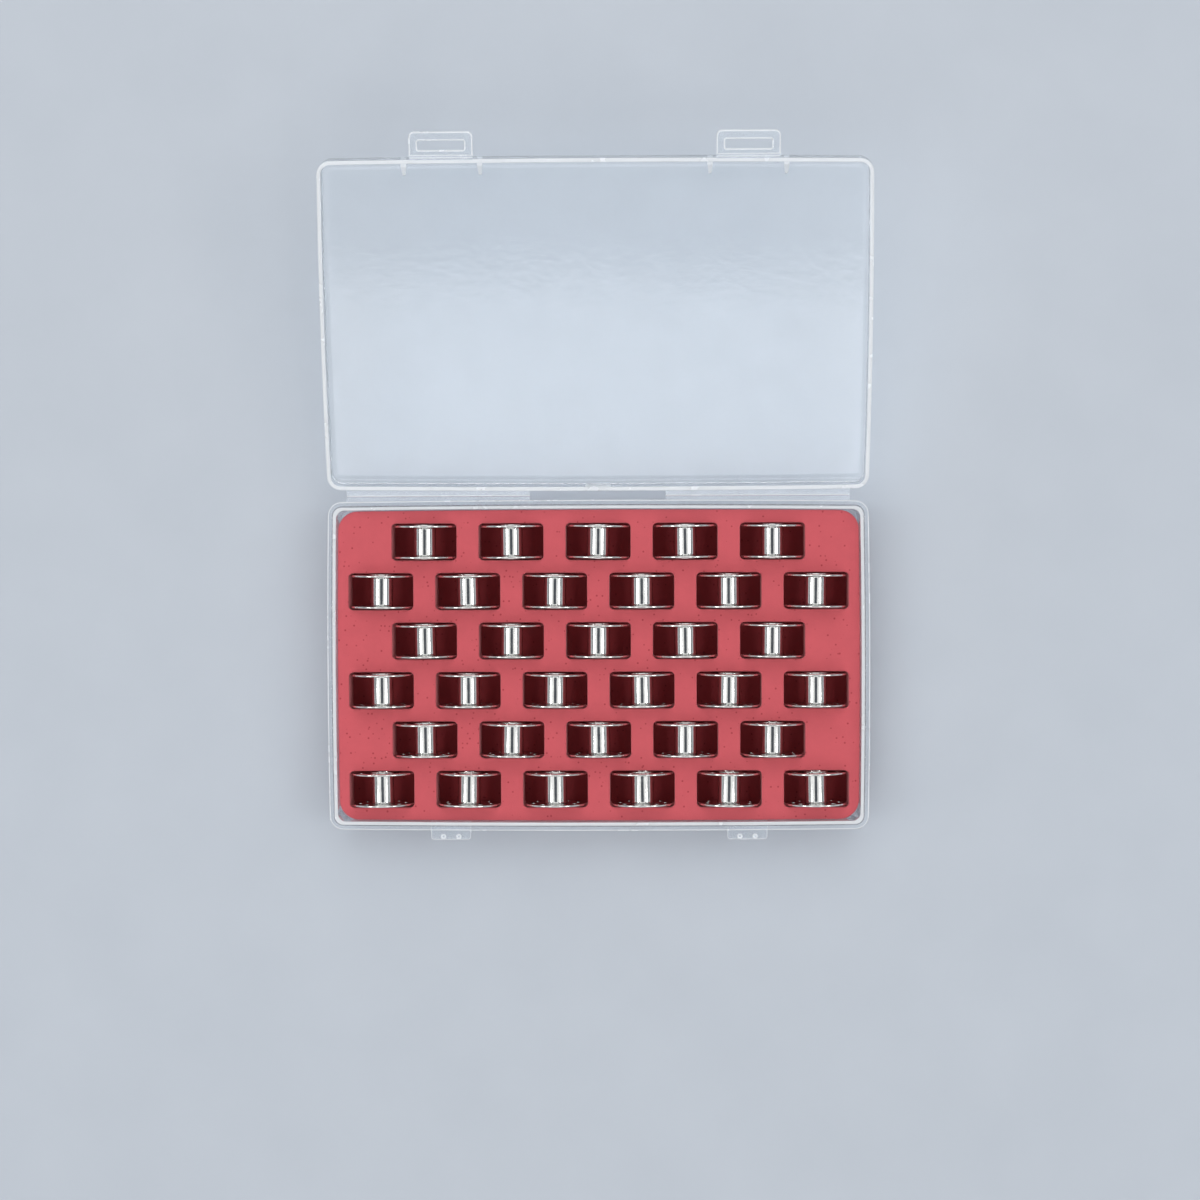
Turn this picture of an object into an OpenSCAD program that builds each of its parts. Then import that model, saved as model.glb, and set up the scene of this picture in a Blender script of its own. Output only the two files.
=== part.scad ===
// Bobbin box: a shallow hinged case with a foam insert that holds metal sewing bobbins on edge.
// The case stands on its underside, with the hinge along +Y and the lid open behind it.
// Each piece is one module. Lengths are in millimetres and angles in degrees.

/* [Bobbins] */
// Diameter of a bobbin's flanges
bobbin_d = 19.5; // [18:0.1:24]
// Width of a bobbin over its hub
bobbin_w = 10.9; // [8:0.1:14]
// Thickness of a flange's sheet
flange_t = 0.6; // [0.4:0.05:1]
// Outer diameter of the hub tube
hub_d = 7; // [6.9:0.1:7.7]
// Diameter of the hole that the spindle goes through
spindle_d = 6.1; // [5.6:0.1:6.2]
// Diameter of the collar that holds a flange on the hub
collar_d = 8.6; // [8.3:0.1:10]
// How far the collar stands out of the flange
collar_t = 0.3; // [0.2:0.05:0.5]
// Height and length of the bead that a flange is swaged against, inside the collar
bead = 0.4; // [0.2:0.05:0.6]
// Diameter of the small holes in a flange
flange_hole_d = 1.7; // [1:0.1:2]
// Radius of the circle that the small holes lie on
flange_hole_ring_r = 7.1; // [6.4:0.1:7.6]
// Number of small holes in a flange
flange_holes = 8; // [4:1:10]

/* [Foam] */
// Number of bobbins in a full row
columns = 6; // [3:1:6]
// Number of rows, counted from the hinge
rows = 6; // [2:1:6]
// Clearance round a bobbin along a pocket
pocket_play_l = 0.8; // [0.5:0.1:1.5]
// Clearance round a bobbin across a pocket
pocket_play_w = 0.6; // [0.5:0.1:1.5]
// Corner radius of a pocket
pocket_r = 1.4; // [0.2:0.1:1.4]
// Foam left between two pockets of a row
foam_rib_x = 7; // [4:0.1:10]
// Foam left between two rows
foam_rib_y = 4.05; // [2:0.01:6]
// Foam left beside a full row
foam_side = 3.55; // [2:0.05:8]
// Foam left in front of the last row
foam_front = 4.18; // [2:0.01:8]
// Foam left behind the first row
foam_rear = 4.28; // [2:0.01:8]
// Thickness of the perforated foam
foam_t = 12.8; // [8:0.1:14]
// Thickness of the sheet under it
backing_t = 1; // [0.6:0.1:2]
// Corner radius of the foam
foam_r = 6; // [3.9:0.1:8]
// Gap between the foam and the case
foam_gap = 0.3; // [0.2:0.05:1]

/* [Base] */
// Thickness of the base's floor
floor_t = 1.2; // [0.8:0.1:2]
// Thickness of the base's wall, and of the lip above the ledge
lip_t = 1.25; // [0.9:0.05:1.4]
// Width of the ledge that the lid stands on
ledge_w = 1.5; // [1.3:0.05:2]
// Thickness of the ledge
ledge_t = 1.5; // [1:0.1:1.8]
// Height of the lip above the ledge
lip_h = 1.5; // [0.8:0.1:1.8]
// How far the foam lies below the top of the ledge
foam_drop = 2; // [0.5:0.1:4]
// Corner radius of the case
case_r = 4.2; // [3.9:0.1:6]
// Corner radius of the base's wall, inside
inner_r = 2.6; // [1.5:0.1:4]
// Radius of the base's lower edge
base_edge_r = 1.4; // [0.4:0.1:1.6]

/* [Lid] */
// Depth of the hollow inside the lid
lid_depth = 6; // [5.7:0.1:10]
// Thickness of the lid's top plate
lid_plate_t = 1.2; // [0.8:0.1:2]
// Thickness of the lid's wall
lid_wall_t = 1.2; // [0.8:0.05:1.25]
// Gap between the lid's rim and the ledge when the lid is closed
rim_gap = 0.1; // [0.05:0.05:0.2]
// Radius of the lid's outer edge
lid_edge_r = 1; // [0.4:0.1:1.2]
// Radius between the lid's plate and wall, inside
lid_fillet_r = 2; // [0.5:0.1:2.4]
// Rounding of the rims
rim_r = 0.2; // [0.1:0.05:0.3]
// Angle of the open lid above the level
lid_tilt = 14.5; // [0:0.5:40]
// Width of a stiffening rib inside the lid's front wall
rib_w = 1.5; // [0.8:0.1:2]
// Distance of each stiffening rib from the middle of its latch
rib_x = 11.6; // [11:0.1:14]
// Length of a stiffening rib along the lid's plate
rib_l = 4.4; // [2:0.1:5]
// Height of a stiffening rib above the lid's plate
rib_h = 3.8; // [2:0.1:3.8]
// Length of the pad inside the lid's rear wall
pad_l = 7.8; // [4:0.1:16]
// Height of the pad inside the lid's rear wall
pad_h = 2.6; // [1:0.1:3]
// How far the pad stands out of the wall
pad_t = 0.15; // [0.1:0.05:0.2]

/* [Hinge] */
// Distance from the case to the fold of the hinge
hinge_reach = 1.4; // [1.2:0.1:2.5]
// Length of one hinge strip
hinge_l = 57.4; // [20:0.1:60]
// Gap between the two hinge strips
hinge_space = 42.4; // [10:0.1:45]
// Thickness of a hinge strip
hinge_t = 0.6; // [0.4:0.05:0.8]
// Half the width of the groove along a fold
fold_gap = 0.1; // [0.08:0.01:0.15]

/* [Latches] */
// Distance of each latch from the middle of the case
latch_x = 46.6; // [30:0.1:55]
// Width of a latch flap
flap_w = 19.5; // [18:0.1:22]
// Length of a latch flap
flap_l = 7.5; // [7.2:0.1:9]
// Thickness of a latch flap
flap_t = 1.2; // [1:0.1:1.3]
// Radius of the two outer corners of a latch flap
flap_r = 1.7; // [0.5:0.1:3]
// Width of the thin web between the lid and a latch flap
web_l = 0.8; // [0.6:0.1:1.4]
// Thickness of that web
web_t = 0.4; // [0.3:0.05:0.6]
// Flap left between the web and the slot
slot_inset = 1.9; // [1.6:0.1:2]
// Width of the slot across the flap
slot_w = 14.2; // [13.6:0.1:15]
// Length of the slot along the flap
slot_l = 2.8; // [2.8:0.1:3.2]
// Corner radius of the slot
slot_r = 0.5; // [0.2:0.1:1]
// Clearance between the slot's side and the catch
catch_play = 0.8; // [0.3:0.1:1]
// How far a catch stands out past the ledge
catch_reach = 3; // [2.2:0.1:3]
// Clearance above a catch in its slot
catch_gap = 0.4; // [0.4:0.05:0.5]
// Thickness of a catch at its tip
catch_tip_t = 1.35; // [0.8:0.05:1.35]
// Corner radius of a catch, seen from above
catch_r = 1; // [0.4:0.1:1.5]
// Diameter of a pip on a catch
pip_d = 1.7; // [1:0.1:1.8]
// Distance between the two pips of a catch
pip_pitch = 4.8; // [3:0.1:8]
// Height of a pip
pip_h = 0.2; // [0.1:0.05:0.2]
// Distance from a catch's tip to the middle of its pips
pip_inset = 1; // [0.9:0.1:2]

/* [Hidden] */
$fn = 48;
arc_steps = 6;
turn_limit = 0.8;
seat_gap = 0.1;
swage_gap = 0.01;
catch_clear = 0.15;
catch_flare = 0.6;
rib_top = 0.3;
rib_toe = 0.35;
turn_step = 137;
clock_step = 71;
clock_shift = 23;
cut = 1;

// Foam and bobbins
pocket_l = bobbin_d + pocket_play_l;
pocket_w = bobbin_w + pocket_play_w;
pitch_x = pocket_l + foam_rib_x;
pitch_y = pocket_w + foam_rib_y;
foam_w = columns * pitch_x - foam_rib_x + 2 * foam_side;
foam_d = rows * pitch_y - foam_rib_y + foam_front + foam_rear;
first_row_y = foam_d / 2 - foam_rear - pocket_w / 2;
backing_z = floor_t;
foam_z = backing_z + backing_t;
bobbin_z = foam_z + seat_gap + bobbin_d / 2;
flange_y = bobbin_w / 2 - collar_t - swage_gap - flange_t;

// Case
wall_in = ledge_w + lip_t;
mid_wall = ledge_w + lip_t / 2;
case_w = foam_w + 2 * (foam_gap + wall_in);
case_d = foam_d + 2 * (foam_gap + wall_in);
ledge_z = foam_z + foam_t + foam_drop;
lip_z = ledge_z + lip_h;
lid_h = lid_depth + lid_plate_t;

// Folds, in the lid's own frame: y runs away from the fold, z = 0 is the plane of the fold
hinge_y = case_d / 2 + hinge_reach;
hinge_x = (hinge_space + hinge_l) / 2;
rim_z = -rim_gap;
lid_front_y = hinge_reach + case_d;
latch_fold_y = lid_front_y + web_l / 2;
flap_y = lid_front_y + web_l;
slot_y = flap_y + slot_inset;

// Catches: what the slot covers once the flap hangs down in front of the base
catch_w = slot_w - 2 * catch_play;
slot_top = slot_y - latch_fold_y;
slot_bottom = slot_top + slot_l;
catch_top_z = ledge_z + rim_gap - slot_top - catch_gap;
catch_root_z = ledge_z + rim_gap - slot_bottom + catch_clear;
flap_face_y = -case_d / 2 - web_l / 2;
wall_y = -case_d / 2 + ledge_w;

// Bobbins in each row alternate between one fewer than a full row and a full row
function row_count(row) = columns - (row + 1) % 2;
places = [
    for (row = [0 : rows - 1])
    for (i = [0 : row_count(row) - 1])
    [(i - (row_count(row) - 1) / 2) * pitch_x, first_row_y - row * pitch_y]
];
function bobbin_name(i) = str("bobbin_", i < 9 ? "0" : "", i + 1);
function bobbin_turn(i) = turn_limit * sin(turn_step * i);
function bobbin_clock(i) = (clock_step * i) % 360;

// Points along an arc round (x, y), from angle a to angle b
function arc(x, y, r, a, b) = [
    for (i = [0 : arc_steps])
    let (t = a + (b - a) * i / arc_steps)
    [x + r * cos(t), y + r * sin(t)]
];

module rounded_rect(w, d, r) {
    square([w - 2 * r, d], center = true);
    square([w, d - 2 * r], center = true);
    for (x = [-1, 1], y = [-1, 1])
        translate([x * (w / 2 - r), y * (d / 2 - r)])
            circle(r);
}

// Sweeps a wall's section round a rounded rectangle. The section's x runs inwards from the outer face.
module wall_ring(w, d, r, section) {
    long = w - 2 * r;
    deep = d - 2 * r;
    for (turn = [0, 180]) {
        rotate([0, 0, turn])
            translate([-long / 2, -d / 2, 0])
                rotate([90, 0, 90])
                    linear_extrude(long)
                        polygon(section);
        rotate([0, 0, turn])
            translate([w / 2, -deep / 2, 0])
                rotate([90, 0, 180])
                    linear_extrude(deep)
                        polygon(section);
        for (side = [0, 1])
            rotate([0, 0, turn])
                mirror([side, 0, 0])
                    translate([long / 2, -deep / 2, 0])
                        rotate([0, 0, -90])
                            rotate_extrude(angle = 90)
                                polygon([for (p = section) [r - p[0], p[1]]]);
    }
}

// A gusset between the lid's plate and its front wall
module lid_rib(x) {
    plate_z = rim_z - lid_depth;
    y = lid_front_y - lid_wall_t;
    translate([x - rib_w / 2, y + lid_wall_t / 2, plate_z - lid_plate_t / 2])
        rotate([90, 0, 90])
            linear_extrude(rib_w)
                polygon(concat(
                    [[0, 0], [0, rib_h + lid_plate_t / 2]],
                    [[-lid_wall_t / 2 - rib_l * rib_top, rib_h + lid_plate_t / 2]],
                    [[-lid_wall_t / 2 - rib_l, lid_plate_t / 2 + rib_h * rib_toe]],
                    [[-lid_wall_t / 2 - rib_l, 0]]
                ));
}

// Puts what is drawn in the lid's frame where the open lid lies
module lid_frame() {
    translate([0, hinge_y, ledge_z])
        rotate([lid_tilt, 0, 0])
            children();
}

module catch(x) {
    tip = -case_d / 2 - catch_reach;
    tip_z = catch_top_z - catch_tip_t;
    translate([x, 0, 0]) {
        intersection() {
            translate([-catch_w / 2, 0, 0])
                rotate([90, 0, 90])
                    linear_extrude(catch_w)
                        polygon([
                            [wall_y + lip_t / 2, catch_top_z],
                            [tip, catch_top_z],
                            [tip, tip_z],
                            [flap_face_y, catch_root_z],
                            [wall_y + lip_t / 2, catch_root_z - catch_flare]
                        ]);
            translate([0, tip + case_r, 0])
                linear_extrude(ledge_z)
                    rounded_rect(catch_w, 2 * case_r, catch_r);
        }
        for (side = [-1, 1])
            translate([side * pip_pitch / 2, tip + pip_inset, catch_top_z - pip_h])
                cylinder(h = 2 * pip_h, d = pip_d);
    }
}

module base_tray() {
    r = rim_r;
    section = concat(
        [[case_r, 0]],
        arc(ledge_w + base_edge_r, base_edge_r, base_edge_r, 270, 180),
        [[ledge_w, ledge_z - ledge_t], [0, ledge_z - ledge_t]],
        [[0, ledge_z - r], [r, ledge_z], [ledge_w, ledge_z]],
        [[ledge_w, lip_z - r], [ledge_w + r, lip_z]],
        [[wall_in - r, lip_z], [wall_in, lip_z - r]],
        [[wall_in, floor_t], [case_r, floor_t]]
    );
    color([0.72, 0.8, 0.88, 0.5]) {
        wall_ring(case_w, case_d, case_r, section);
        translate([0, 0, floor_t / 2])
            cube([case_w - 2 * case_r, case_d - 2 * case_r, floor_t], center = true);
        translate([0, 0, floor_t / 2])
            linear_extrude(lip_z - r - floor_t / 2)
                difference() {
                    rounded_rect(case_w - 2 * mid_wall, case_d - 2 * mid_wall, case_r - mid_wall);
                    rounded_rect(case_w - 2 * wall_in, case_d - 2 * wall_in, inner_r);
                }
        for (side = [-1, 1])
            catch(side * latch_x);
    }
}

module foam_backing() {
    color([0.6, 0.16, 0.18])
        translate([0, 0, backing_z])
            linear_extrude(backing_t)
                rounded_rect(foam_w, foam_d, foam_r);
}

module foam_insert() {
    color([0.82, 0.3, 0.33])
        translate([0, 0, foam_z])
            linear_extrude(foam_t)
                difference() {
                    rounded_rect(foam_w, foam_d, foam_r);
                    for (p = places)
                        translate(p)
                            rounded_rect(pocket_l, pocket_w, pocket_r);
                }
}

// The lid's wall and plate, its ribs, the pad at the hinge and its half of each latch's web
module lid() {
    r = rim_r;
    low = rim_z - lid_h;
    plate = low + lid_plate_t;
    section = concat(
        [[case_r, low]],
        arc(lid_edge_r, low + lid_edge_r, lid_edge_r, 270, 180),
        [[0, rim_z - r], [r, rim_z]],
        [[lid_wall_t - r, rim_z], [lid_wall_t, rim_z - r]],
        arc(lid_wall_t + lid_fillet_r, plate + lid_fillet_r, lid_fillet_r, 180, 270),
        [[case_r, plate]]
    );
    color([0.72, 0.8, 0.88, 0.5])
        lid_frame() {
            translate([0, lid_front_y - case_d / 2, 0]) {
                wall_ring(case_w, case_d, case_r, section);
                translate([0, 0, low + lid_plate_t / 2])
                    cube([case_w - 2 * case_r, case_d - 2 * case_r, lid_plate_t], center = true);
            }
            for (side = [-1, 1]) {
                for (rib = [-1, 1])
                    lid_rib(side * latch_x + rib * rib_x);
                translate([side * latch_x - flap_w / 2, lid_front_y - lid_wall_t / 2, rim_z - web_t])
                    cube([flap_w, lid_wall_t / 2 + web_l / 2 - fold_gap, web_t]);
            }
            translate([-pad_l / 2, hinge_reach + lid_wall_t - pad_t, rim_z - r - pad_h])
                cube([pad_l, 2 * pad_t, pad_h]);
        }
}

// One half of a hinge strip, from the case's edge to the fold
module hinge_leaf(x) {
    translate([x - hinge_l / 2, fold_gap, rim_z - hinge_t])
        cube([hinge_l, hinge_reach - fold_gap, hinge_t]);
}

module hinge_base_leaf(x) {
    color([0.8, 0.86, 0.92, 0.6])
        translate([0, hinge_y, ledge_z])
            mirror([0, 1, 0])
                hinge_leaf(x);
}

module hinge_lid_leaf(x) {
    color([0.8, 0.86, 0.92, 0.6])
        lid_frame()
            hinge_leaf(x);
}

// A flap with a slot, and its half of the web along its root
module latch(x) {
    color([0.78, 0.85, 0.9, 0.6])
        lid_frame()
            translate([x, 0, 0]) {
                translate([0, 0, rim_z - flap_t])
                    linear_extrude(flap_t)
                        difference() {
                            union() {
                                translate([0, flap_y + flap_l / 2])
                                    rounded_rect(flap_w, flap_l, flap_r);
                                translate([-flap_w / 2, flap_y])
                                    square([flap_w, flap_l / 2]);
                            }
                            translate([0, slot_y + slot_l / 2])
                                rounded_rect(slot_w, slot_l, slot_r);
                        }
                translate([-flap_w / 2, latch_fold_y + fold_gap, rim_z - web_t])
                    cube([flap_w, web_l, web_t]);
            }
}

// One flange, with its face towards the hub at y = 0 and a ring of small holes
module flange(clock) {
    rotate([-90, clock, 0])
        difference() {
            rotate_extrude()
                polygon(concat(
                    [[hub_d / 2 + swage_gap, 0]],
                    arc(bobbin_d / 2 - flange_t / 2, flange_t / 2, flange_t / 2, -90, 90),
                    [[hub_d / 2 + swage_gap, flange_t]]
                ));
            for (i = [0 : flange_holes - 1])
                rotate([0, 0, i * 360 / flange_holes])
                    translate([flange_hole_ring_r, 0, -cut])
                        cylinder(h = flange_t + 2 * cut, d = flange_hole_d);
        }
}

// The hub tube, with a bead inside each flange and a collar swaged over its outside
module hub() {
    bead_r = hub_d / 2 + bead;
    bead_y = flange_y - swage_gap;
    half = bobbin_w / 2;
    right = [
        [bead_r, bead_y - bead], [bead_r, bead_y], [hub_d / 2, bead_y], [hub_d / 2, half - collar_t],
        [collar_d / 2, half - collar_t], [collar_d / 2, half], [spindle_d / 2, half]
    ];
    left = [for (i = [len(right) - 1 : -1 : 0]) [right[i][0], -right[i][1]]];
    rotate([90, 0, 0])
        rotate_extrude()
            polygon(concat(left, [[hub_d / 2, bead - bead_y], [hub_d / 2, bead_y - bead]], right));
}

module bobbin(i) {
    color([0.75, 0.75, 0.76])
        translate([places[i][0], places[i][1], bobbin_z])
            rotate([0, 0, bobbin_turn(i)]) {
                translate([0, flange_y, 0])
                    flange(bobbin_clock(i));
                mirror([0, 1, 0])
                    translate([0, flange_y, 0])
                        flange(bobbin_clock(i) + clock_shift);
                hub();
            }
}

base_tray();
foam_backing();
foam_insert();
lid();
hinge_base_leaf(-hinge_x);  // hinge_base_left
hinge_base_leaf(hinge_x);  // hinge_base_right
hinge_lid_leaf(-hinge_x);  // hinge_lid_left
hinge_lid_leaf(hinge_x);  // hinge_lid_right
latch(-latch_x);  // latch_left
latch(latch_x);  // latch_right
for (i = [0 : len(places) - 1])
    bobbin(i);
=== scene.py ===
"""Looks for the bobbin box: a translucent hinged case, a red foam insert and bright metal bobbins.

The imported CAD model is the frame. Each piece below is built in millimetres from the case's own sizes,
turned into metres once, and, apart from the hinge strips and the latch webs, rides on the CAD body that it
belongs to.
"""
import math

import bmesh
import bpy
from mathutils import Matrix, Vector

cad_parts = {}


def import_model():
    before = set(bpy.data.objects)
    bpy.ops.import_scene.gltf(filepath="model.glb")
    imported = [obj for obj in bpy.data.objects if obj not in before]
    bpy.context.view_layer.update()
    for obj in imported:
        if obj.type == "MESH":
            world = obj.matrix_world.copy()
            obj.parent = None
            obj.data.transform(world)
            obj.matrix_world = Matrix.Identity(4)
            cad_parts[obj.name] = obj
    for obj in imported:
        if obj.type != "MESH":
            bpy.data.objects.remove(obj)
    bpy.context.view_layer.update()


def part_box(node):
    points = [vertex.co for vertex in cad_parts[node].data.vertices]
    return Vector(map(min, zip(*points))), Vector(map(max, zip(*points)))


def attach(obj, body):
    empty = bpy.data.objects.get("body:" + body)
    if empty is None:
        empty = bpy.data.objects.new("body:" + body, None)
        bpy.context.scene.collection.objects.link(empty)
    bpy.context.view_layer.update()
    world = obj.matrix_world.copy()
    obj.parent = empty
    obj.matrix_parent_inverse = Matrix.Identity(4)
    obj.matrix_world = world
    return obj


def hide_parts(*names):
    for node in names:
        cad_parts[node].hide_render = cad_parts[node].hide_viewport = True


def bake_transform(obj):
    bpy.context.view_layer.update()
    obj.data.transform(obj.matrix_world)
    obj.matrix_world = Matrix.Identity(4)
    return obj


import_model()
MM = 0.001

# ---------------------------------------------------------------- sizes, in millimetres unless they say otherwise
CASE_W = 170.0
CASE_D = 103.81
CASE_R = 4.2
INNER_R = 2.6
BOW = 0.5            # how far the corners lie inside the bowed sides
LEDGE_W = 1.5
LEDGE_T = 1.5
LIP_T = 1.25
LIP_H = 1.5
FLOOR_T = 1.2
BASE_EDGE_R = 1.4
LEDGE_Z = 17.0
LID_DEPTH = 6.0
LID_PLATE_T = 1.2
LID_WALL_T = 1.2
LID_EDGE_R = 1.0
LID_FILLET_R = 2.0
RIM_GAP = 0.1
LID_TILT = 14.5      # degrees that the open lid stands up from flat
HINGE_REACH = 1.4
HINGE_L = 57.4
HINGE_SPACE = 42.4
HINGE_T = 0.6
LATCH_X = 46.6
FLAP_W = 19.5
FLAP_L = 7.5
FLAP_T = 1.2
FLAP_R = 1.7
WEB_L = 0.8
WEB_T = 0.4
SLOT_INSET = 1.9
SLOT_W = 14.2
SLOT_L = 2.8
RIB_X = 11.6
RIB_W = 1.7
RIB_L = 4.4
RIB_H = 3.8
PAD_L = 7.8
PAD_H = 2.6
PAD_T = 0.15
CATCH_W = 12.6
CATCH_REACH = 3.0
CATCH_R = 1.0
CATCH_TOP_Z = 14.4
CATCH_TIP_T = 1.35
PIP_D = 1.7
PIP_PITCH = 4.8
PIP_H = 0.2
PIP_INSET = 1.0
BOBBIN_D = 19.5
BOBBIN_W = 10.9
FLANGE_T = 0.6
HUB_D = 7.0
SPINDLE_D = 6.1
COLLAR_D = 8.6
COLLAR_T = 0.3
FLANGE_HOLES = 8
FLANGE_HOLE_D = 1.7
FLANGE_HOLE_RING_R = 7.1
TURN_LIMIT = 0.8     # degrees that a bobbin may stand askew in its pocket
TURN_STEP = 137      # phase, in degrees, from one bobbin's turn in its pocket to the next one's
SPIN_STEP = 71       # degrees between one bobbin's spin about its axis and the next one's
FLANGE_CLOCK = 23    # degrees between the rings of holes in a bobbin's two flanges
COLUMNS = 6
ROWS = 6
POCKET_L = BOBBIN_D + 0.8
POCKET_W = BOBBIN_W + 0.6
POCKET_R = 1.4
PITCH_X = POCKET_L + 7.0
PITCH_Y = POCKET_W + 4.05
FOAM_R = 6.0
FOAM_REAR = 4.28

SECTION_IN = CASE_R - 0.3   # where a shell's swept section gives way to its flat middle
RIM_HIGHLIGHT_BAND = 0.3       # depth of the band along the rims drawn in the whiter plastic, a painted highlight
LEDGE_HIGHLIGHT_LINE = 0.36    # width of the line along the ledge's edge drawn in the whiter plastic, a painted highlight
TUCK = 0.2           # how far a small piece reaches into what carries it
FLAP_EDGE_R = 0.45
PIP_EYE_R = 0.3
CLOSE_R = 0.0005     # stands in for a radius of nothing
CATCH_FLARE = 1.2
RIB_TOP = 0.3
RIB_TOE = 0.35
RIB_BEND_R = 0.8
CORNER_STEPS = 10
SIDE_STEPS = 24
FLOOR_HALF = 3       # metres
FLOOR_DROP = 0.0002  # metres

HINGE_Y = CASE_D / 2 + HINGE_REACH
LIP_Z = LEDGE_Z + LIP_H
WALL_IN = LEDGE_W + LIP_T
RIM_Z = -RIM_GAP
LID_LOW = RIM_Z - LID_DEPTH - LID_PLATE_T
LID_FLOOR = LID_LOW + LID_PLATE_T
LID_FRONT = HINGE_REACH + CASE_D
LID_MATRIX = Matrix.Translation((0, HINGE_Y, LEDGE_Z)) @ Matrix.Rotation(math.radians(LID_TILT), 4, "X")
HINGE_X = (HINGE_SPACE + HINGE_L) / 2


# ---------------------------------------------------------------- shapes
def arc(x, y, r, a, b, steps):
    """Points along an arc round (x, y), from angle a to angle b in degrees."""
    turn = [math.radians(a + (b - a) * i / steps) for i in range(steps + 1)]
    return [(x + r * math.cos(t), y + r * math.sin(t)) for t in turn]


def rounded(points, steps=4):
    """An open outline with its corners rounded. Each point is (x, y, radius)."""
    out = [points[0][:2]]
    for before, here, after in zip(points, points[1:], points[2:]):
        p, r = Vector(here[:2]), here[2]
        if r <= 0:
            out.append(tuple(p))
            continue
        u = (Vector(before[:2]) - p).normalized()
        v = (Vector(after[:2]) - p).normalized()
        half = u.angle(v) / 2
        centre = p + (u + v).normalized() * (r / math.sin(half))
        a, b = p + u * (r / math.tan(half)) - centre, p + v * (r / math.tan(half)) - centre
        for i in range(steps + 1):
            t = i / steps
            out.append(tuple(centre + a.slerp(b, t) * r))
    out.append(points[-1][:2])
    return out


def rounded_rect(w, d, r, steps=8, side=1):
    """A closed outline, anticlockwise, with side pieces along each straight side."""
    out = []
    x, y = w / 2 - r, d / 2 - r
    corners = [(x, -y, -90), (x, y, 0), (-x, y, 90), (-x, -y, 180)]
    for n, (cx, cy, a) in enumerate(corners):
        turn = arc(cx, cy, r, a, a + 90, steps)
        out += turn
        nx, ny, na = corners[(n + 1) % 4]
        start, end = Vector(turn[-1]), Vector(arc(nx, ny, r, na, na, 1)[0])
        out += [tuple(start.lerp(end, i / side)) for i in range(1, side)]
    return out


def normals_of(loop):
    """The outward normals of an anticlockwise outline, scaled so that an offset keeps its width."""
    out = []
    n = len(loop)
    for i in range(n):
        a = Vector(loop[i]) - Vector(loop[i - 1])
        b = Vector(loop[(i + 1) % n]) - Vector(loop[i])
        na, nb = Vector((a.y, -a.x)).normalized(), Vector((b.y, -b.x)).normalized()
        m = (na + nb).normalized()
        out.append(m / max(0.5, m.dot(na)))
    return out


def bowed(x, y):
    """A point of the case's plan with the sides bowed and the corners drawn in."""
    across, deep = 2 * x / CASE_W, 2 * y / CASE_D
    return x * (1 - 2 * BOW / CASE_W * deep * deep), y * (1 - 2 * BOW / CASE_D * across * across)


def bowed_rect(w, d, r):
    """A rounded rectangle with its sides bowed as the case's are."""
    return [bowed(x, y) for x, y in rounded_rect(w, d, r, steps=CORNER_STEPS, side=SIDE_STEPS)]


def moved(loop, dx, dy):
    """An outline moved by dx and dy."""
    return [(x + dx, y + dy) for x, y in loop]


def bridge(bm, low, high, material=0):
    """Quads between two closed rows of as many vertices."""
    for i in range(len(low)):
        j = (i + 1) % len(low)
        bm.faces.new([low[i], low[j], high[j], high[i]]).material_index = material


def finish_mesh(bm, name, body, angle=35, matrix=None, weighted=True):
    """Turns a bmesh in millimetres into a piece in metres that rides on body."""
    bmesh.ops.recalc_face_normals(bm, faces=bm.faces)
    if matrix is not None:
        bm.transform(matrix)
    bm.transform(Matrix.Scale(MM, 4))
    mesh = bpy.data.meshes.new(name)
    bm.to_mesh(mesh)
    bm.free()
    mesh.shade_smooth()
    mesh.set_sharp_from_angle(angle=math.radians(angle))
    piece = bpy.data.objects.new(name, mesh)
    bpy.context.scene.collection.objects.link(piece)
    if weighted:
        modifier = piece.modifiers.new("weighted", "WEIGHTED_NORMAL")
        modifier.keep_sharp = True
    if body:
        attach(piece, body)
    return piece


def swept_shell(bm, section, painted_highlight_mask, shift=(0, 0), inner_r=0.0):
    """A shell whose wall section runs round the case's bowed outline. section's x runs inwards.

    Its mask function says of a stretch of the section, by its middle, whether it has the second material, the
    whiter plastic that paints a highlight along the rims.
    The plan's corners are never sharper than inner_r.
    """
    rows = []
    for inward, z in section:
        r = max(CASE_R - inward, min(inner_r, CASE_R - LEDGE_W), 0.05)
        plan = bowed_rect(CASE_W - 2 * inward, CASE_D - 2 * inward, r)
        rows.append([bm.verts.new((x + shift[0], y + shift[1], z)) for x, y in plan])
    for low, high, a, b in zip(rows, rows[1:], section, section[1:]):
        bridge(bm, low, high, int(painted_highlight_mask((a[0] + b[0]) / 2, (a[1] + b[1]) / 2)))
    bm.faces.new(rows[0])
    bm.faces.new(rows[-1])


def plate(bm, loops, z0, z1, edge, steps=3, place=None, rim=0):
    """A flat plate with rounded edges. loops are closed outlines: the outer one first, then its holes.

    Its edges have the material numbered rim.
    """
    turn = [math.pi / 2 * i / steps for i in range(steps + 1)]
    levels = [(edge * (1 - math.sin(t)), z0 + edge * (1 - math.cos(t))) for t in turn]
    levels += [(inset, z1 + z0 - z) for inset, z in reversed(levels)]
    caps = [[], []]
    for n, loop in enumerate(loops):
        side = 1 if n == 0 else -1
        outward = normals_of(loop)
        rows = []
        for inset, z in levels:
            rows.append([])
            for p, m in zip(loop, outward):
                q = Vector((p[0] - side * m.x * inset, p[1] - side * m.y * inset, z))
                rows[-1].append(bm.verts.new(place @ q if place else q))
        for low, high in zip(rows, rows[1:]):
            bridge(bm, low, high, rim)
        for cap, row in zip(caps, (rows[0], rows[-1])):
            cap += [bm.edges.get((row[i], row[(i + 1) % len(row)])) for i in range(len(row))]
    for cap in caps:
        bmesh.ops.triangle_fill(bm, use_beauty=True, use_dissolve=False, edges=cap)


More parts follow.
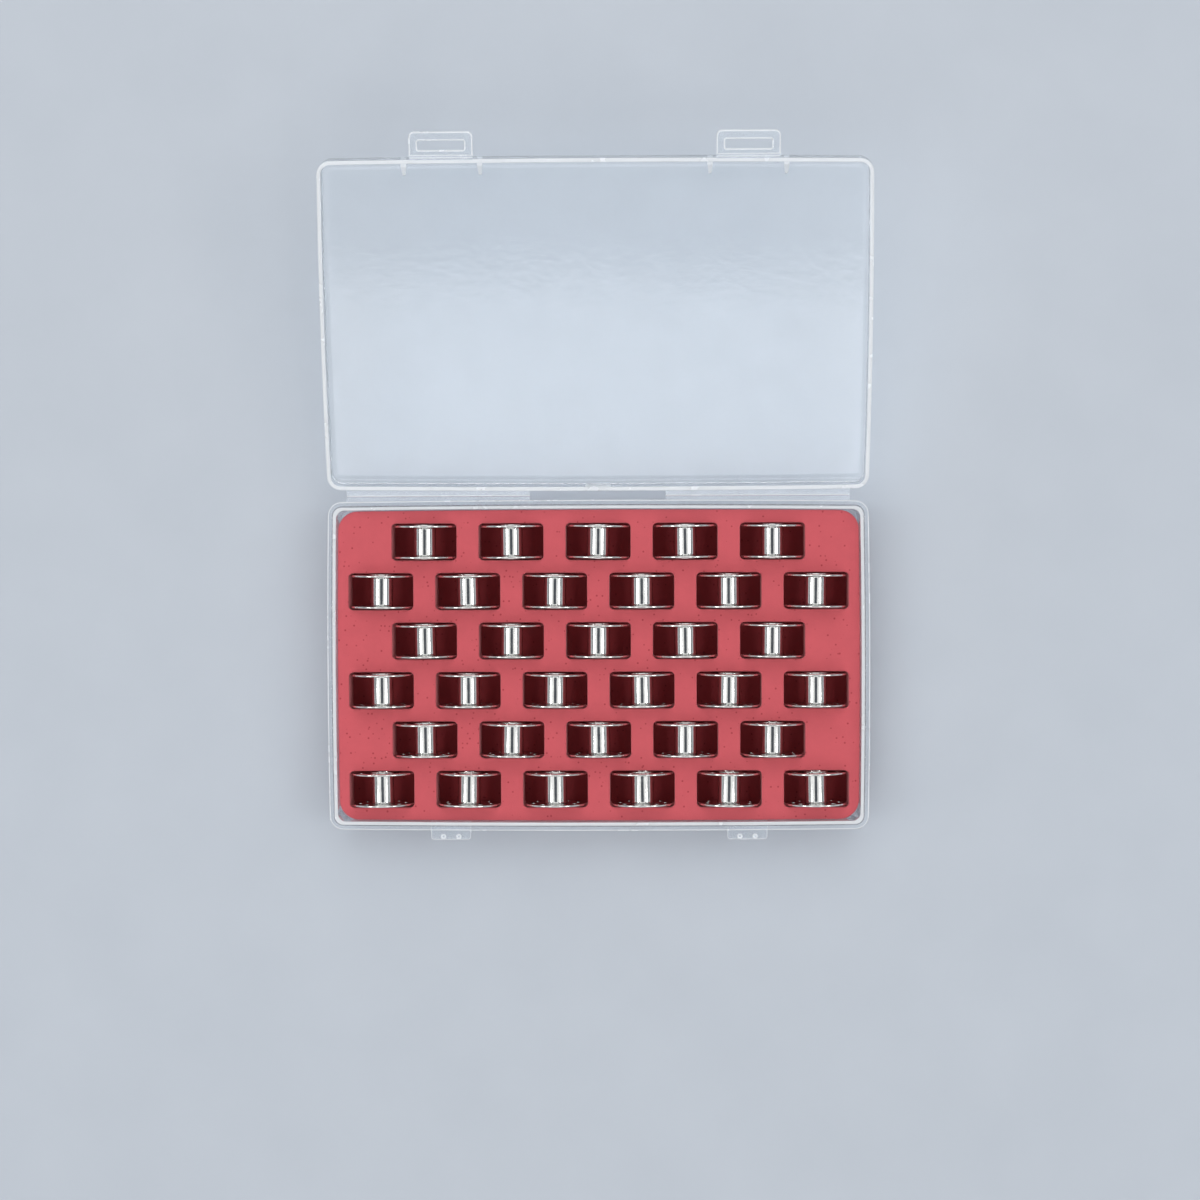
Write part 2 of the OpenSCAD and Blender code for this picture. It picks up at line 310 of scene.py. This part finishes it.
def lathe(bm, profile, turns, place, material=0):
    """A closed profile of (radius, height) turned round the z axis."""
    rows = []
    for i in range(turns):
        a = 2 * math.pi * i / turns
        rows.append([bm.verts.new(place @ Vector((r * math.cos(a), r * math.sin(a), z))) for r, z in profile])
    for i in range(turns):
        bridge(bm, rows[i], rows[(i + 1) % turns], material)


# ---------------------------------------------------------------- materials
def material(name):
    """A new node material: its node tree's nodes and links, and its Principled shader."""
    made = bpy.data.materials.new(name)
    made.use_nodes = True
    nodes, links = made.node_tree.nodes, made.node_tree.links
    return made, nodes, links, nodes["Principled BSDF"]


def place_noise(nodes, links, scale, detail=4.0, roughness=0.5):
    """Noise fixed to the object, in metres."""
    where = nodes.new("ShaderNodeTexCoord")
    noise = nodes.new("ShaderNodeTexNoise")
    noise.inputs["Scale"].default_value = scale
    noise.inputs["Detail"].default_value = detail
    noise.inputs["Roughness"].default_value = roughness
    links.new(where.outputs["Object"], noise.inputs["Vector"])
    return noise


def ramp(nodes, links, source, stops):
    """A colour ramp from source. stops are (position, colour) pairs."""
    node = nodes.new("ShaderNodeValToRGB")
    node.color_ramp.elements[0].position = stops[0][0]
    node.color_ramp.elements[0].color = (*stops[0][1], 1)
    node.color_ramp.elements[1].position = stops[-1][0]
    node.color_ramp.elements[1].color = (*stops[-1][1], 1)
    for position, colour in stops[1:-1]:
        node.color_ramp.elements.new(position).color = (*colour, 1)
    links.new(source, node.inputs["Fac"])
    return node


def spread(nodes, links, source, low, high):
    """Maps 0 to 1 onto low to high."""
    node = nodes.new("ShaderNodeMapRange")
    node.inputs["To Min"].default_value = low
    node.inputs["To Max"].default_value = high
    links.new(source, node.inputs["Value"])
    return node


def colour_from(nodes, links, source, stops, shader):
    """Gives the shader its colour from a ramp."""
    links.new(ramp(nodes, links, source, stops).outputs["Color"], shader.inputs["Base Color"])


def roughness_from(nodes, links, source, low, high, shader):
    """Gives the shader its roughness from a source of 0 to 1."""
    links.new(spread(nodes, links, source, low, high).outputs["Result"], shader.inputs["Roughness"])


def bump(nodes, links, source, strength, distance, shader):
    """Relief from a height, without change to the mesh."""
    node = nodes.new("ShaderNodeBump")
    node.inputs["Strength"].default_value = strength
    node.inputs["Distance"].default_value = distance
    links.new(source, node.inputs["Height"])
    links.new(node.outputs["Normal"], shader.inputs["Normal"])
    return node


def clear_plastic(name, tint, haze, rough):
    """Moulded polypropylene: light passes, with a little cloudy haze. With much haze it is the whiter plastic
    that paints a highlight on rims and edges.
    """
    made, nodes, links, shader = material(name)
    shader.inputs["IOR"].default_value = 1.49
    shader.inputs["Transmission Weight"].default_value = 1 - haze
    wave = place_noise(nodes, links, 140, 3)
    deeper = [c * 0.97 for c in tint]
    colour_from(nodes, links, wave.outputs["Fac"], [(0.3, tint), (0.7, deeper)], shader)
    roughness_from(nodes, links, wave.outputs["Fac"], rough * 0.75, rough * 1.3, shader)
    peel = place_noise(nodes, links, 420, 2)
    bump(nodes, links, peel.outputs["Fac"], 0.06, 0.0004, shader)
    through = nodes.new("ShaderNodeBsdfTransparent")
    through.inputs["Color"].default_value = (0.86, 0.88, 0.9, 1)
    path = nodes.new("ShaderNodeLightPath")
    mix = nodes.new("ShaderNodeMixShader")
    links.new(path.outputs["Is Shadow Ray"], mix.inputs["Fac"])
    links.new(shader.outputs["BSDF"], mix.inputs[1])
    links.new(through.outputs["BSDF"], mix.inputs[2])
    links.new(mix.outputs["Shader"], nodes["Material Output"].inputs["Surface"])
    return made


def foam_material(name, colour, dark):
    """Closed-cell foam: fine pores, a little mottling and a soft matte face."""
    made, nodes, links, shader = material(name)
    shader.inputs["Sheen Weight"].default_value = 0.15
    shader.inputs["Sheen Roughness"].default_value = 0.6
    shader.inputs["Specular IOR Level"].default_value = 0.25
    shader.inputs["Roughness"].default_value = 0.85
    cells = nodes.new("ShaderNodeTexVoronoi")
    cells.inputs["Scale"].default_value = 2600
    where = nodes.new("ShaderNodeTexCoord")
    links.new(where.outputs["Object"], cells.inputs["Vector"])
    mottle = place_noise(nodes, links, 160, 6, 0.65)
    specks = place_noise(nodes, links, 1500, 3, 0.7)
    body = ramp(nodes, links, mottle.outputs["Fac"], [(0.3, [c * 0.93 for c in colour]), (0.7, colour)])
    dots = nodes.new("ShaderNodeTexVoronoi")
    dots.inputs["Scale"].default_value = 650
    links.new(where.outputs["Object"], dots.inputs["Vector"])
    some = ramp(nodes, links, dots.outputs["Color"], [(0.4, (0, 0, 0)), (0.42, (1, 1, 1))])
    apart = nodes.new("ShaderNodeMath")
    apart.operation = "ADD"
    links.new(dots.outputs["Distance"], apart.inputs[0])
    links.new(some.outputs["Color"], apart.inputs[1])
    speck = ramp(nodes, links, apart.outputs["Value"], [(0.1, (0, 0, 0)), (0.24, (1, 1, 1))])
    blend = nodes.new("ShaderNodeMix")
    blend.data_type = "RGBA"
    blend.inputs["A"].default_value = (*dark, 1)
    links.new(speck.outputs["Color"], blend.inputs["Factor"])
    links.new(body.outputs["Color"], blend.inputs["B"])
    links.new(blend.outputs["Result"], shader.inputs["Base Color"])
    relief = nodes.new("ShaderNodeMath")
    relief.operation = "MULTIPLY_ADD"
    relief.inputs[1].default_value = 0.5
    links.new(cells.outputs["Distance"], relief.inputs[0])
    links.new(specks.outputs["Fac"], relief.inputs[2])
    bump(nodes, links, relief.outputs["Value"], 0.35, 0.00012, shader)
    return made


def bobbin_metal(name):
    """Bright nickel plate, with faint drawing marks and a little uneven gloss."""
    made, nodes, links, shader = material(name)
    shader.inputs["Metallic"].default_value = 1.0
    smear = place_noise(nodes, links, 260, 5, 0.6)
    dull, bright = (0.66, 0.66, 0.64), (0.78, 0.78, 0.75)
    colour_from(nodes, links, smear.outputs["Fac"], [(0.3, dull), (0.7, bright)], shader)
    roughness_from(nodes, links, smear.outputs["Fac"], 0.07, 0.2, shader)
    fine = place_noise(nodes, links, 1, 4, 0.6)
    stretch = nodes.new("ShaderNodeVectorMath")
    stretch.operation = "MULTIPLY"
    stretch.inputs[1].default_value = (1500, 90, 1500)
    links.new(nodes["Texture Coordinate"].outputs["Object"], stretch.inputs[0])
    links.new(stretch.outputs["Vector"], fine.inputs["Vector"])
    bump(nodes, links, fine.outputs["Fac"], 0.12, 0.0001, shader)
    return made


def floor_material(name):
    """Matte paper. Well away from the object it shows its own pale colour, so it doesn't end in the dark."""
    made, nodes, links, shader = material(name)
    grain = place_noise(nodes, links, 30, 5)
    darker, lighter = (0.53, 0.57, 0.62), (0.55, 0.59, 0.64)
    colour_from(nodes, links, grain.outputs["Fac"], [(0.3, darker), (0.7, lighter)], shader)
    shader.inputs["Roughness"].default_value = 0.9
    shader.inputs["Specular IOR Level"].default_value = 0.2
    away = nodes.new("ShaderNodeVectorMath")
    away.operation = "LENGTH"
    links.new(nodes["Texture Coordinate"].outputs["Object"], away.inputs[0])
    reach = nodes.new("ShaderNodeMapRange")
    reach.inputs["From Min"].default_value = 0.35
    reach.inputs["From Max"].default_value = FLOOR_HALF
    links.new(away.outputs["Value"], reach.inputs["Value"])
    share = ramp(nodes, links, reach.outputs["Result"], [(0, (0, 0, 0)), (0.35, (1, 1, 1))])
    glow = nodes.new("ShaderNodeEmission")
    pale = ramp(nodes, links, reach.outputs["Result"], [(0.2, (0.54, 0.59, 0.65)), (1, (0.62, 0.65, 0.69))])
    links.new(pale.outputs["Color"], glow.inputs["Color"])
    path = nodes.new("ShaderNodeLightPath")
    seen = path.outputs["Is Camera Ray"]
    for ray in ("Is Glossy Ray", "Is Transmission Ray"):
        add = nodes.new("ShaderNodeMath")
        add.use_clamp = True
        links.new(seen, add.inputs[0])
        links.new(path.outputs[ray], add.inputs[1])
        seen = add.outputs["Value"]
    weight = nodes.new("ShaderNodeMath")
    weight.operation = "MULTIPLY"
    links.new(seen, weight.inputs[0])
    links.new(share.outputs["Color"], weight.inputs[1])
    mix = nodes.new("ShaderNodeMixShader")
    links.new(weight.outputs["Value"], mix.inputs["Fac"])
    links.new(shader.outputs["BSDF"], mix.inputs[1])
    links.new(glow.outputs["Emission"], mix.inputs[2])
    links.new(mix.outputs["Shader"], nodes["Material Output"].inputs["Surface"])
    return made


PLASTIC = clear_plastic("moulded_plastic", (0.9, 0.93, 0.96), 0.12, 0.08)
# painted highlight: rims and edges get this much hazier, whiter plastic, which paints on them the light that
# glows along a clear plastic's edges.
RIM_HIGHLIGHT_PLASTIC = clear_plastic("plastic_painted_rim_highlight", (0.88, 0.9, 0.92), 0.78, 0.25)
WEB_PLASTIC = clear_plastic("folded_plastic", (0.88, 0.91, 0.95), 0.2, 0.22)
FOAM = foam_material("insert_foam", (0.63, 0.103, 0.122), (0.37, 0.03, 0.04))
# painted shade: the backing has the insert's red, made darker so that the pocket floors look shaded.
BACKING_FOAM_DARKENED_FOR_SHADE = foam_material("backing_foam_painted_shade", (0.4, 0.05, 0.06), (0.24, 0.02, 0.03))
METAL = bobbin_metal("nickel_plate")


def dress(piece, slot, *made):
    """Gives a piece its materials. The slot argument is not used."""
    for one in made:
        piece.data.materials.append(one)
    return piece


# ---------------------------------------------------------------- base
def base_shell():
    """The base's floor, walls, ledge and lip in one shell."""
    section = rounded([
        (SECTION_IN, 0, 0),
        (LEDGE_W, 0, BASE_EDGE_R),
        (LEDGE_W, LEDGE_Z - LEDGE_T, 0.2),
        (0, LEDGE_Z - LEDGE_T, 0.25),
        (0, LEDGE_Z, 0.35),
        (LEDGE_W, LEDGE_Z, 0.12),
        (LEDGE_W, LIP_Z, 0.3),
        (WALL_IN, LIP_Z, 0.4),
        (WALL_IN, FLOOR_T, 0.3),
        (SECTION_IN, FLOOR_T, 0),
    ])

    # painted highlight: the lip's top and the ledge's outer edge get the whiter plastic, standing for the light
    # that glows along these rims.
    def painted_highlight_mask(x, z):
        on_lip = z > LIP_Z - RIM_HIGHLIGHT_BAND and x > LEDGE_W + RIM_HIGHLIGHT_BAND
        on_ledge = x < LEDGE_HIGHLIGHT_LINE and z > LEDGE_Z - LEDGE_T
        return on_lip or on_ledge

    bm = bmesh.new()
    swept_shell(bm, section, painted_highlight_mask, inner_r=INNER_R)
    piece = finish_mesh(bm, "base_shell", "base")
    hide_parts("base_tray")
    return dress(piece, "clear_plastic", PLASTIC, RIM_HIGHLIGHT_PLASTIC)


def catch(side):
    """A tongue under the ledge that the latch's slot drops over, with two small pips on it."""
    name = "catch_left" if side < 0 else "catch_right"
    tip = -CASE_D / 2 - CATCH_REACH
    wall = -CASE_D / 2 + LEDGE_W + 0.3
    bm = bmesh.new()
    outline = rounded_rect(CATCH_W, 2 * CASE_R, CATCH_R, steps=6)
    outline = [(x, min(y + tip + CASE_R, wall)) for x, y in outline]
    before = outline[-1:] + outline[:-1]
    outline = [p for p, last in zip(outline, before) if Vector(p).to_tuple(4) != Vector(last).to_tuple(4)]
    # painted highlight: the tongue's rounded edges get the whiter plastic.
    plate(bm, [outline], CATCH_TOP_Z - CATCH_TIP_T, CATCH_TOP_Z, 0.2, rim=1)
    for v in bm.verts:
        below = (CATCH_TOP_Z - v.co.z) / CATCH_TIP_T
        v.co.z -= max(0, below) * CATCH_FLARE * (v.co.y - tip) / (wall - tip)
    for pip in (-1, 1):
        x = pip * PIP_PITCH / 2
        r = PIP_D / 2
        profile = rounded([
            (CLOSE_R, -0.1, 0),
            (r, -0.1, 0),
            (r, PIP_H, 0.12),
            (0.45, PIP_H, 0.1),
            (PIP_EYE_R, 0.04, 0.1),
            (CLOSE_R, 0.04, 0),
        ], 3)
        middle = Vector((x, tip + PIP_INSET, CATCH_TOP_Z))
        # painted highlight: each pip is a ring of the whiter plastic, with only its eye left clear.
        lathe(bm, profile, 32, Matrix.Translation(middle), 1)
        for face in bm.faces:
            if (face.calc_center_median() - middle).length < PIP_EYE_R:
                face.material_index = 0
    bmesh.ops.translate(bm, verts=bm.verts, vec=(side * LATCH_X, 0, 0))
    piece = finish_mesh(bm, name, "base")
    return dress(piece, "clear_plastic", PLASTIC, RIM_HIGHLIGHT_PLASTIC)


# ---------------------------------------------------------------- lid
def lid_shell():
    """The lid's plate and wall, turned open about the hinge."""
    section = rounded([
        (SECTION_IN, LID_LOW, 0),
        (0, LID_LOW, LID_EDGE_R),
        (0, RIM_Z, 0.25),
        (LID_WALL_T, RIM_Z, 0.25),
        (LID_WALL_T, LID_FLOOR, LID_FILLET_R),
        (SECTION_IN, LID_FLOOR, 0),
    ], 6)
    bm = bmesh.new()
    # painted highlight: a band along the lid's rim gets the whiter plastic.
    swept_shell(bm, section, lambda x, z: z > RIM_Z - RIM_HIGHLIGHT_BAND, (0, LID_FRONT - CASE_D / 2))
    piece = finish_mesh(bm, "lid_shell", "lid", matrix=LID_MATRIX)
    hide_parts("lid")
    return dress(piece, "clear_plastic", PLASTIC, RIM_HIGHLIGHT_PLASTIC)


def lid_rib(side, way):
    """A gusset between the lid's plate and its front wall."""
    x = side * LATCH_X + way * RIB_X
    depth = bowed(x, CASE_D / 2)[1] + LID_FRONT - CASE_D / 2 - LID_WALL_T + TUCK
    outline = rounded([
        (0, 0, 0),
        (0, RIB_H, 0),
        (-RIB_L * RIB_TOP, RIB_H, RIB_BEND_R),
        (-RIB_L, RIB_H * RIB_TOE, RIB_BEND_R),
        (-RIB_L, 0, 0),
        (0, 0, 0),
    ], 5)[:-1]
    bm = bmesh.new()
    on_edge = Matrix(((0, 0, 1, 0), (1, 0, 0, 0), (0, 1, 0, 0), (0, 0, 0, 1)))
    place = Matrix.Translation((x - RIB_W / 2, depth, LID_FLOOR - 0.1)) @ on_edge
    plate(bm, [outline[::-1]], 0, RIB_W, 0.25, place=place)
    for v in bm.verts:
        along = min(1, (depth - v.co.y) / RIB_L)
        drawn_in = 0.1 * along + 0.5 * max(0, along * 5 - 4) ** 2
        v.co.x += (place.translation.x + RIB_W / 2 - v.co.x) * drawn_in
    name = f"lid_rib_{'left' if side < 0 else 'right'}_{'outer' if side * way > 0 else 'inner'}"
    piece = finish_mesh(bm, name, "lid", matrix=LID_MATRIX)
    # painted highlight: the rib is drawn whole in the whiter plastic, as a bright line.
    return dress(piece, "clear_plastic", RIM_HIGHLIGHT_PLASTIC)


def lid_pad():
    """The small moulded pad inside the lid's rear wall."""
    bm = bmesh.new()
    middle = (0, HINGE_REACH + LID_WALL_T - 0.05, RIM_Z - 0.4 - PAD_H / 2)
    turn = Matrix.Translation(middle) @ Matrix.Rotation(math.radians(-90), 4, "X")
    plate(bm, [rounded_rect(PAD_L, PAD_H, 0.4, steps=5)], 0, PAD_T + 0.05, 0.06, place=turn)
    piece = finish_mesh(bm, "lid_pad", "lid", matrix=LID_MATRIX)
    # The pad is drawn whole in the same whiter plastic as the rims' painted highlight.
    return dress(piece, "clear_plastic", RIM_HIGHLIGHT_PLASTIC)


# ---------------------------------------------------------------- living hinges
def web_strip(start, end, fold, width, x, thickness, steps=24, wide=24):
    """A thin strip from start to end, points in the y-z plane, with a groove at the fold.

    Its ends and the groove have the second material, the whiter plastic of a painted highlight.
    """
    bm = bmesh.new()
    path = []
    for i in range(steps + 1):
        t = i / steps
        a, b = (start, fold) if t < 0.5 else (fold, end)
        s = t * 2 if t < 0.5 else t * 2 - 1
        path.append(Vector(a).lerp(Vector(b), s))
    rows = []
    for i, p in enumerate(path):
        groove = math.exp(-((i - steps / 2) / (steps * 0.09)) ** 2)
        thick = thickness * (1 - 0.5 * groove)
        row = []
        for j in range(wide + 1):
            row.append((x - width / 2 + width * j / wide, p.x, p.y))
        low = [bm.verts.new((a, b, c - thick)) for a, b, c in row]
        top = [bm.verts.new((a, b, c)) for a, b, c in row]
        rows.append(top + low[::-1])
    for i, (a, b) in enumerate(zip(rows, rows[1:])):  # the rows nearest the fold are the groove
        bridge(bm, a, b, int(abs(i + 0.5 - steps / 2) < steps * 0.05))
    bm.faces.new(rows[0])
    bm.faces.new(rows[-1])
    bm.faces.ensure_lookup_table()
    for face in bm.faces:
        if abs(abs(face.calc_center_median().x - x) - width / 2) < 0.01:
            face.material_index = 1
    return bm


def hinge_strip(side):
    """One living-hinge strip, unbroken from the base's ledge to the lid's rim."""
    name = "hinge_strip_left" if side < 0 else "hinge_strip_right"
    start = (CASE_D / 2, LEDGE_Z + RIM_Z)
    fold = (HINGE_Y, LEDGE_Z + RIM_Z)
    far = LID_MATRIX @ Vector((0, HINGE_REACH, RIM_Z))
    bm = web_strip(start, (far.y, far.z), fold, HINGE_L, side * HINGE_X, HINGE_T)
    reach = far.y - CASE_D / 2
    for v in bm.verts:
        drawn = CASE_D / 2 - bowed(v.co.x, CASE_D / 2)[1]
        s = (v.co.y - CASE_D / 2) / reach
        v.co.y += drawn * (2 * s - 1) * abs(2 * s - 1)
    piece = finish_mesh(bm, name, None, 40, weighted=False)
    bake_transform(piece)
    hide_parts(*[f"hinge_{half}_{'left' if side < 0 else 'right'}" for half in ("base", "lid")])
    return dress(piece, "hinge_plastic", WEB_PLASTIC, RIM_HIGHLIGHT_PLASTIC)


def latch(side):
    """The flap and the thin web that it folds on."""
    word = "left" if side < 0 else "right"
    x = side * LATCH_X
    root = LID_FRONT + WEB_L
    half = FLAP_W / 2
    flap = [(-half, 0, 0), (half, 0, 0), (half, FLAP_L, FLAP_R), (-half, FLAP_L, FLAP_R), (-half, 0, 0)]
    flap = moved(rounded(flap, 8)[:-1], x, root)
    slot = moved(rounded_rect(SLOT_W, SLOT_L, 0.5, steps=5), x, root + SLOT_INSET + SLOT_L / 2)
    bm = bmesh.new()
    # painted highlight: the flap's rounded edges and the slot's edges get the whiter plastic.
    plate(bm, [flap, slot], RIM_Z - FLAP_T, RIM_Z, FLAP_EDGE_R, steps=4, rim=1)
    piece = finish_mesh(bm, f"latch_flap_{word}", f"latch_{word}", matrix=LID_MATRIX)
    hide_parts(f"latch_{word}")
    dress(piece, "clear_plastic", PLASTIC, RIM_HIGHLIGHT_PLASTIC)
    drawn = CASE_D / 2 - bowed(x, CASE_D / 2)[1]
    ends = [(LID_FRONT - drawn - TUCK, RIM_Z), (root + 0.3, RIM_Z)]
    fold = ((ends[0][0] + ends[1][0]) / 2, RIM_Z)
    bm = web_strip(ends[0], ends[1], fold, FLAP_W - 0.3, x, WEB_T, steps=16, wide=8)
    web = finish_mesh(bm, f"latch_web_{word}", None, 40, matrix=LID_MATRIX, weighted=False)
    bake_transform(web)
    dress(web, "clear_plastic", WEB_PLASTIC, RIM_HIGHLIGHT_PLASTIC)


# ---------------------------------------------------------------- foam and bobbins
def places():
    """The pockets' centres, row by row from the hinge."""
    low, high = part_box("foam_insert")
    first = high.y / MM - FOAM_REAR - POCKET_W / 2
    out = []
    for row in range(ROWS):
        count = COLUMNS - (row + 1) % 2
        out += [((i - (count - 1) / 2) * PITCH_X, first - row * PITCH_Y) for i in range(count)]
    return out


def foam_piece(node, holes, edge, made, slot):
    """A foam sheet in its node's box, with a pocket at each of holes."""
    low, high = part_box(node)
    low, high = low / MM, high / MM
    pocket = rounded_rect(POCKET_L, POCKET_W, POCKET_R, steps=5)
    loops = [bowed_rect(high.x - low.x, high.y - low.y, FOAM_R)] + [moved(pocket, x, y) for x, y in holes]
    bm = bmesh.new()
    plate(bm, loops, low.z, high.z, edge)
    piece = finish_mesh(bm, node.replace("foam", "eva"), "base")
    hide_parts(node)
    return dress(piece, slot, made)


def flange(bm, y, clock):
    """A pressed disc with a rounded rim and a ring of small holes, its middle at height y."""
    r = BOBBIN_D / 2
    on_axis = Matrix.Rotation(math.radians(-90), 4, "X")
    place = on_axis @ Matrix.Rotation(math.radians(clock), 4, "Z") @ Matrix.Translation((0, 0, y))
    outer = arc(0, 0, r, 0, 360, 96)[:-1]
    holes = [arc(0, 0, HUB_D / 2 - 0.05, 0, 360, 48)[:-1]]
    for i in range(FLANGE_HOLES):
        a = 2 * math.pi * i / FLANGE_HOLES
        hx, hy = FLANGE_HOLE_RING_R * math.cos(a), FLANGE_HOLE_RING_R * math.sin(a)
        holes.append(arc(hx, hy, FLANGE_HOLE_D / 2, 0, 360, 20)[:-1])
    plate(bm, [outer] + holes, -FLANGE_T / 2, FLANGE_T / 2, 0.22, place=place)


def bobbin_mesh():
    """One bobbin about its own middle, with its axis along y."""
    half = BOBBIN_W / 2
    middle = half - COLLAR_T - FLANGE_T / 2
    bm = bmesh.new()
    flange(bm, middle, 0)
    flange(bm, -middle, FLANGE_CLOCK)
    inner = middle - FLANGE_T / 2
    side = [
        (HUB_D / 2, 0, 0),
        (HUB_D / 2, inner - 0.4, 0.3),
        (HUB_D / 2 + 0.4, inner, 0.1),
        (HUB_D / 2, inner, 0),
        (HUB_D / 2, half - COLLAR_T, 0),
        (COLLAR_D / 2, half - COLLAR_T, 0.1),
        (COLLAR_D / 2, half, 0.22),
        (SPINDLE_D / 2, half, 0.3),
        (SPINDLE_D / 2, 0, 0),
    ]
    right = rounded(side, 4)
    profile = right + [(r, -z) for r, z in reversed(right[1:-1])]
    lathe(bm, profile, 64, Matrix.Rotation(math.radians(-90), 4, "X"))
    bmesh.ops.recalc_face_normals(bm, faces=bm.faces)
    bm.transform(Matrix.Scale(MM, 4))
    mesh = bpy.data.meshes.new("bobbin")
    bm.to_mesh(mesh)
    bm.free()
    mesh.shade_smooth()
    mesh.set_sharp_from_angle(angle=math.radians(40))
    return mesh


def bobbins():
    """A bobbin in each pocket, each turned and spun a little differently."""
    mesh = bobbin_mesh()
    for i, (x, y) in enumerate(places()):
        node = f"bobbin_{i + 1:02d}"
        low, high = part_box(node)
        own = mesh.copy()
        turn = Matrix.Rotation(math.radians(TURN_LIMIT * math.sin(math.radians(TURN_STEP * i))), 4, "Z")
        spin = Matrix.Rotation(math.radians(SPIN_STEP * i % 360), 4, "Y")
        own.transform(Matrix.Translation((x * MM, y * MM, (low.z + high.z) / 2)) @ turn @ spin)
        piece = bpy.data.objects.new(f"metal_{node}", own)
        bpy.context.scene.collection.objects.link(piece)
        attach(piece, node)
        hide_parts(node)
        dress(piece, "bobbin_metal", METAL)


# ---------------------------------------------------------------- the stage
def stage():
    """The floor."""
    bm = bmesh.new()
    bmesh.ops.create_grid(bm, x_segments=2, y_segments=2, size=FLOOR_HALF)
    mesh = bpy.data.meshes.new("floor")
    bm.to_mesh(mesh)
    bm.free()
    floor = bpy.data.objects.new("floor", mesh)
    floor.location = (0, 0, -FLOOR_DROP)
    bpy.context.scene.collection.objects.link(floor)
    floor.data.materials.append(floor_material("floor"))


def softbox(name, place, size, power):
    """A rectangular lamp that faces the object."""
    light = bpy.data.lights.new(name, "AREA")
    light.shape = "RECTANGLE"
    light.size, light.size_y = size
    light.energy = power
    lamp = bpy.data.objects.new(name, light)
    lamp.location = place
    lamp.rotation_euler = (-Vector(place)).to_track_quat("-Z", "Y").to_euler()
    lamp.visible_camera = False
    bpy.context.scene.collection.objects.link(lamp)


def world():
    """A pale studio, darker overhead, where the camera hangs."""
    made = bpy.data.worlds.new("studio")
    made.use_nodes = True
    nodes, links = made.node_tree.nodes, made.node_tree.links
    where = nodes.new("ShaderNodeTexCoord")
    split = nodes.new("ShaderNodeSeparateXYZ")
    links.new(where.outputs["Generated"], split.inputs["Vector"])
    shade = ramp(nodes, links, split.outputs["Z"], [(0.15, (0.62, 0.65, 0.69)), (0.6, (0.09, 0.1, 0.12))])
    links.new(shade.outputs["Color"], nodes["Background"].inputs["Color"])
    bpy.context.scene.world = made


def camera():
    """Straight above the open case, with a long lens, where the photograph was taken from."""
    data = bpy.data.cameras.new("camera")
    data.lens = 90
    data.sensor_width = 36
    data.clip_end = 10
    eye = bpy.data.objects.new("camera", data)
    eye.location = (0.0208, 0.0513, 0.9547)
    eye.rotation_euler = [math.radians(a) for a in (-1.882, 1.227, -0.208)]
    bpy.context.scene.collection.objects.link(eye)
    bpy.context.scene.camera = eye


camera()
world()
stage()
softbox("softbox_left", (-0.9, 0.05, 1.26), (1.6, 1.2), 6.2)
softbox("softbox_right", (0.9, 0.05, 1.26), (1.6, 1.2), 5.8)
softbox("softbox_front", (0, -0.85, 1.2), (1.2, 0.8), 5.2)
softbox("softbox_rear", (0, 1.0, 1.1), (1.2, 0.8), 6.4)
softbox("key_left", (-1.1, 0.0, 1.1), (0.3, 0.3), 2.4)
softbox("key_right", (1.1, 0.0, 1.1), (0.3, 0.3), 2.2)
bpy.context.scene.view_settings.view_transform = "Standard"

base_shell()
lid_shell()
lid_pad()
foam_piece("foam_insert", places(), 0.35, FOAM, "foam")
foam_piece("foam_backing", [], 0.15, BACKING_FOAM_DARKENED_FOR_SHADE, "foam_sheet")
for side in (-1, 1):
    catch(side)
    hinge_strip(side)
    latch(side)
    for way in (-1, 1):
        lid_rib(side, way)
bobbins()
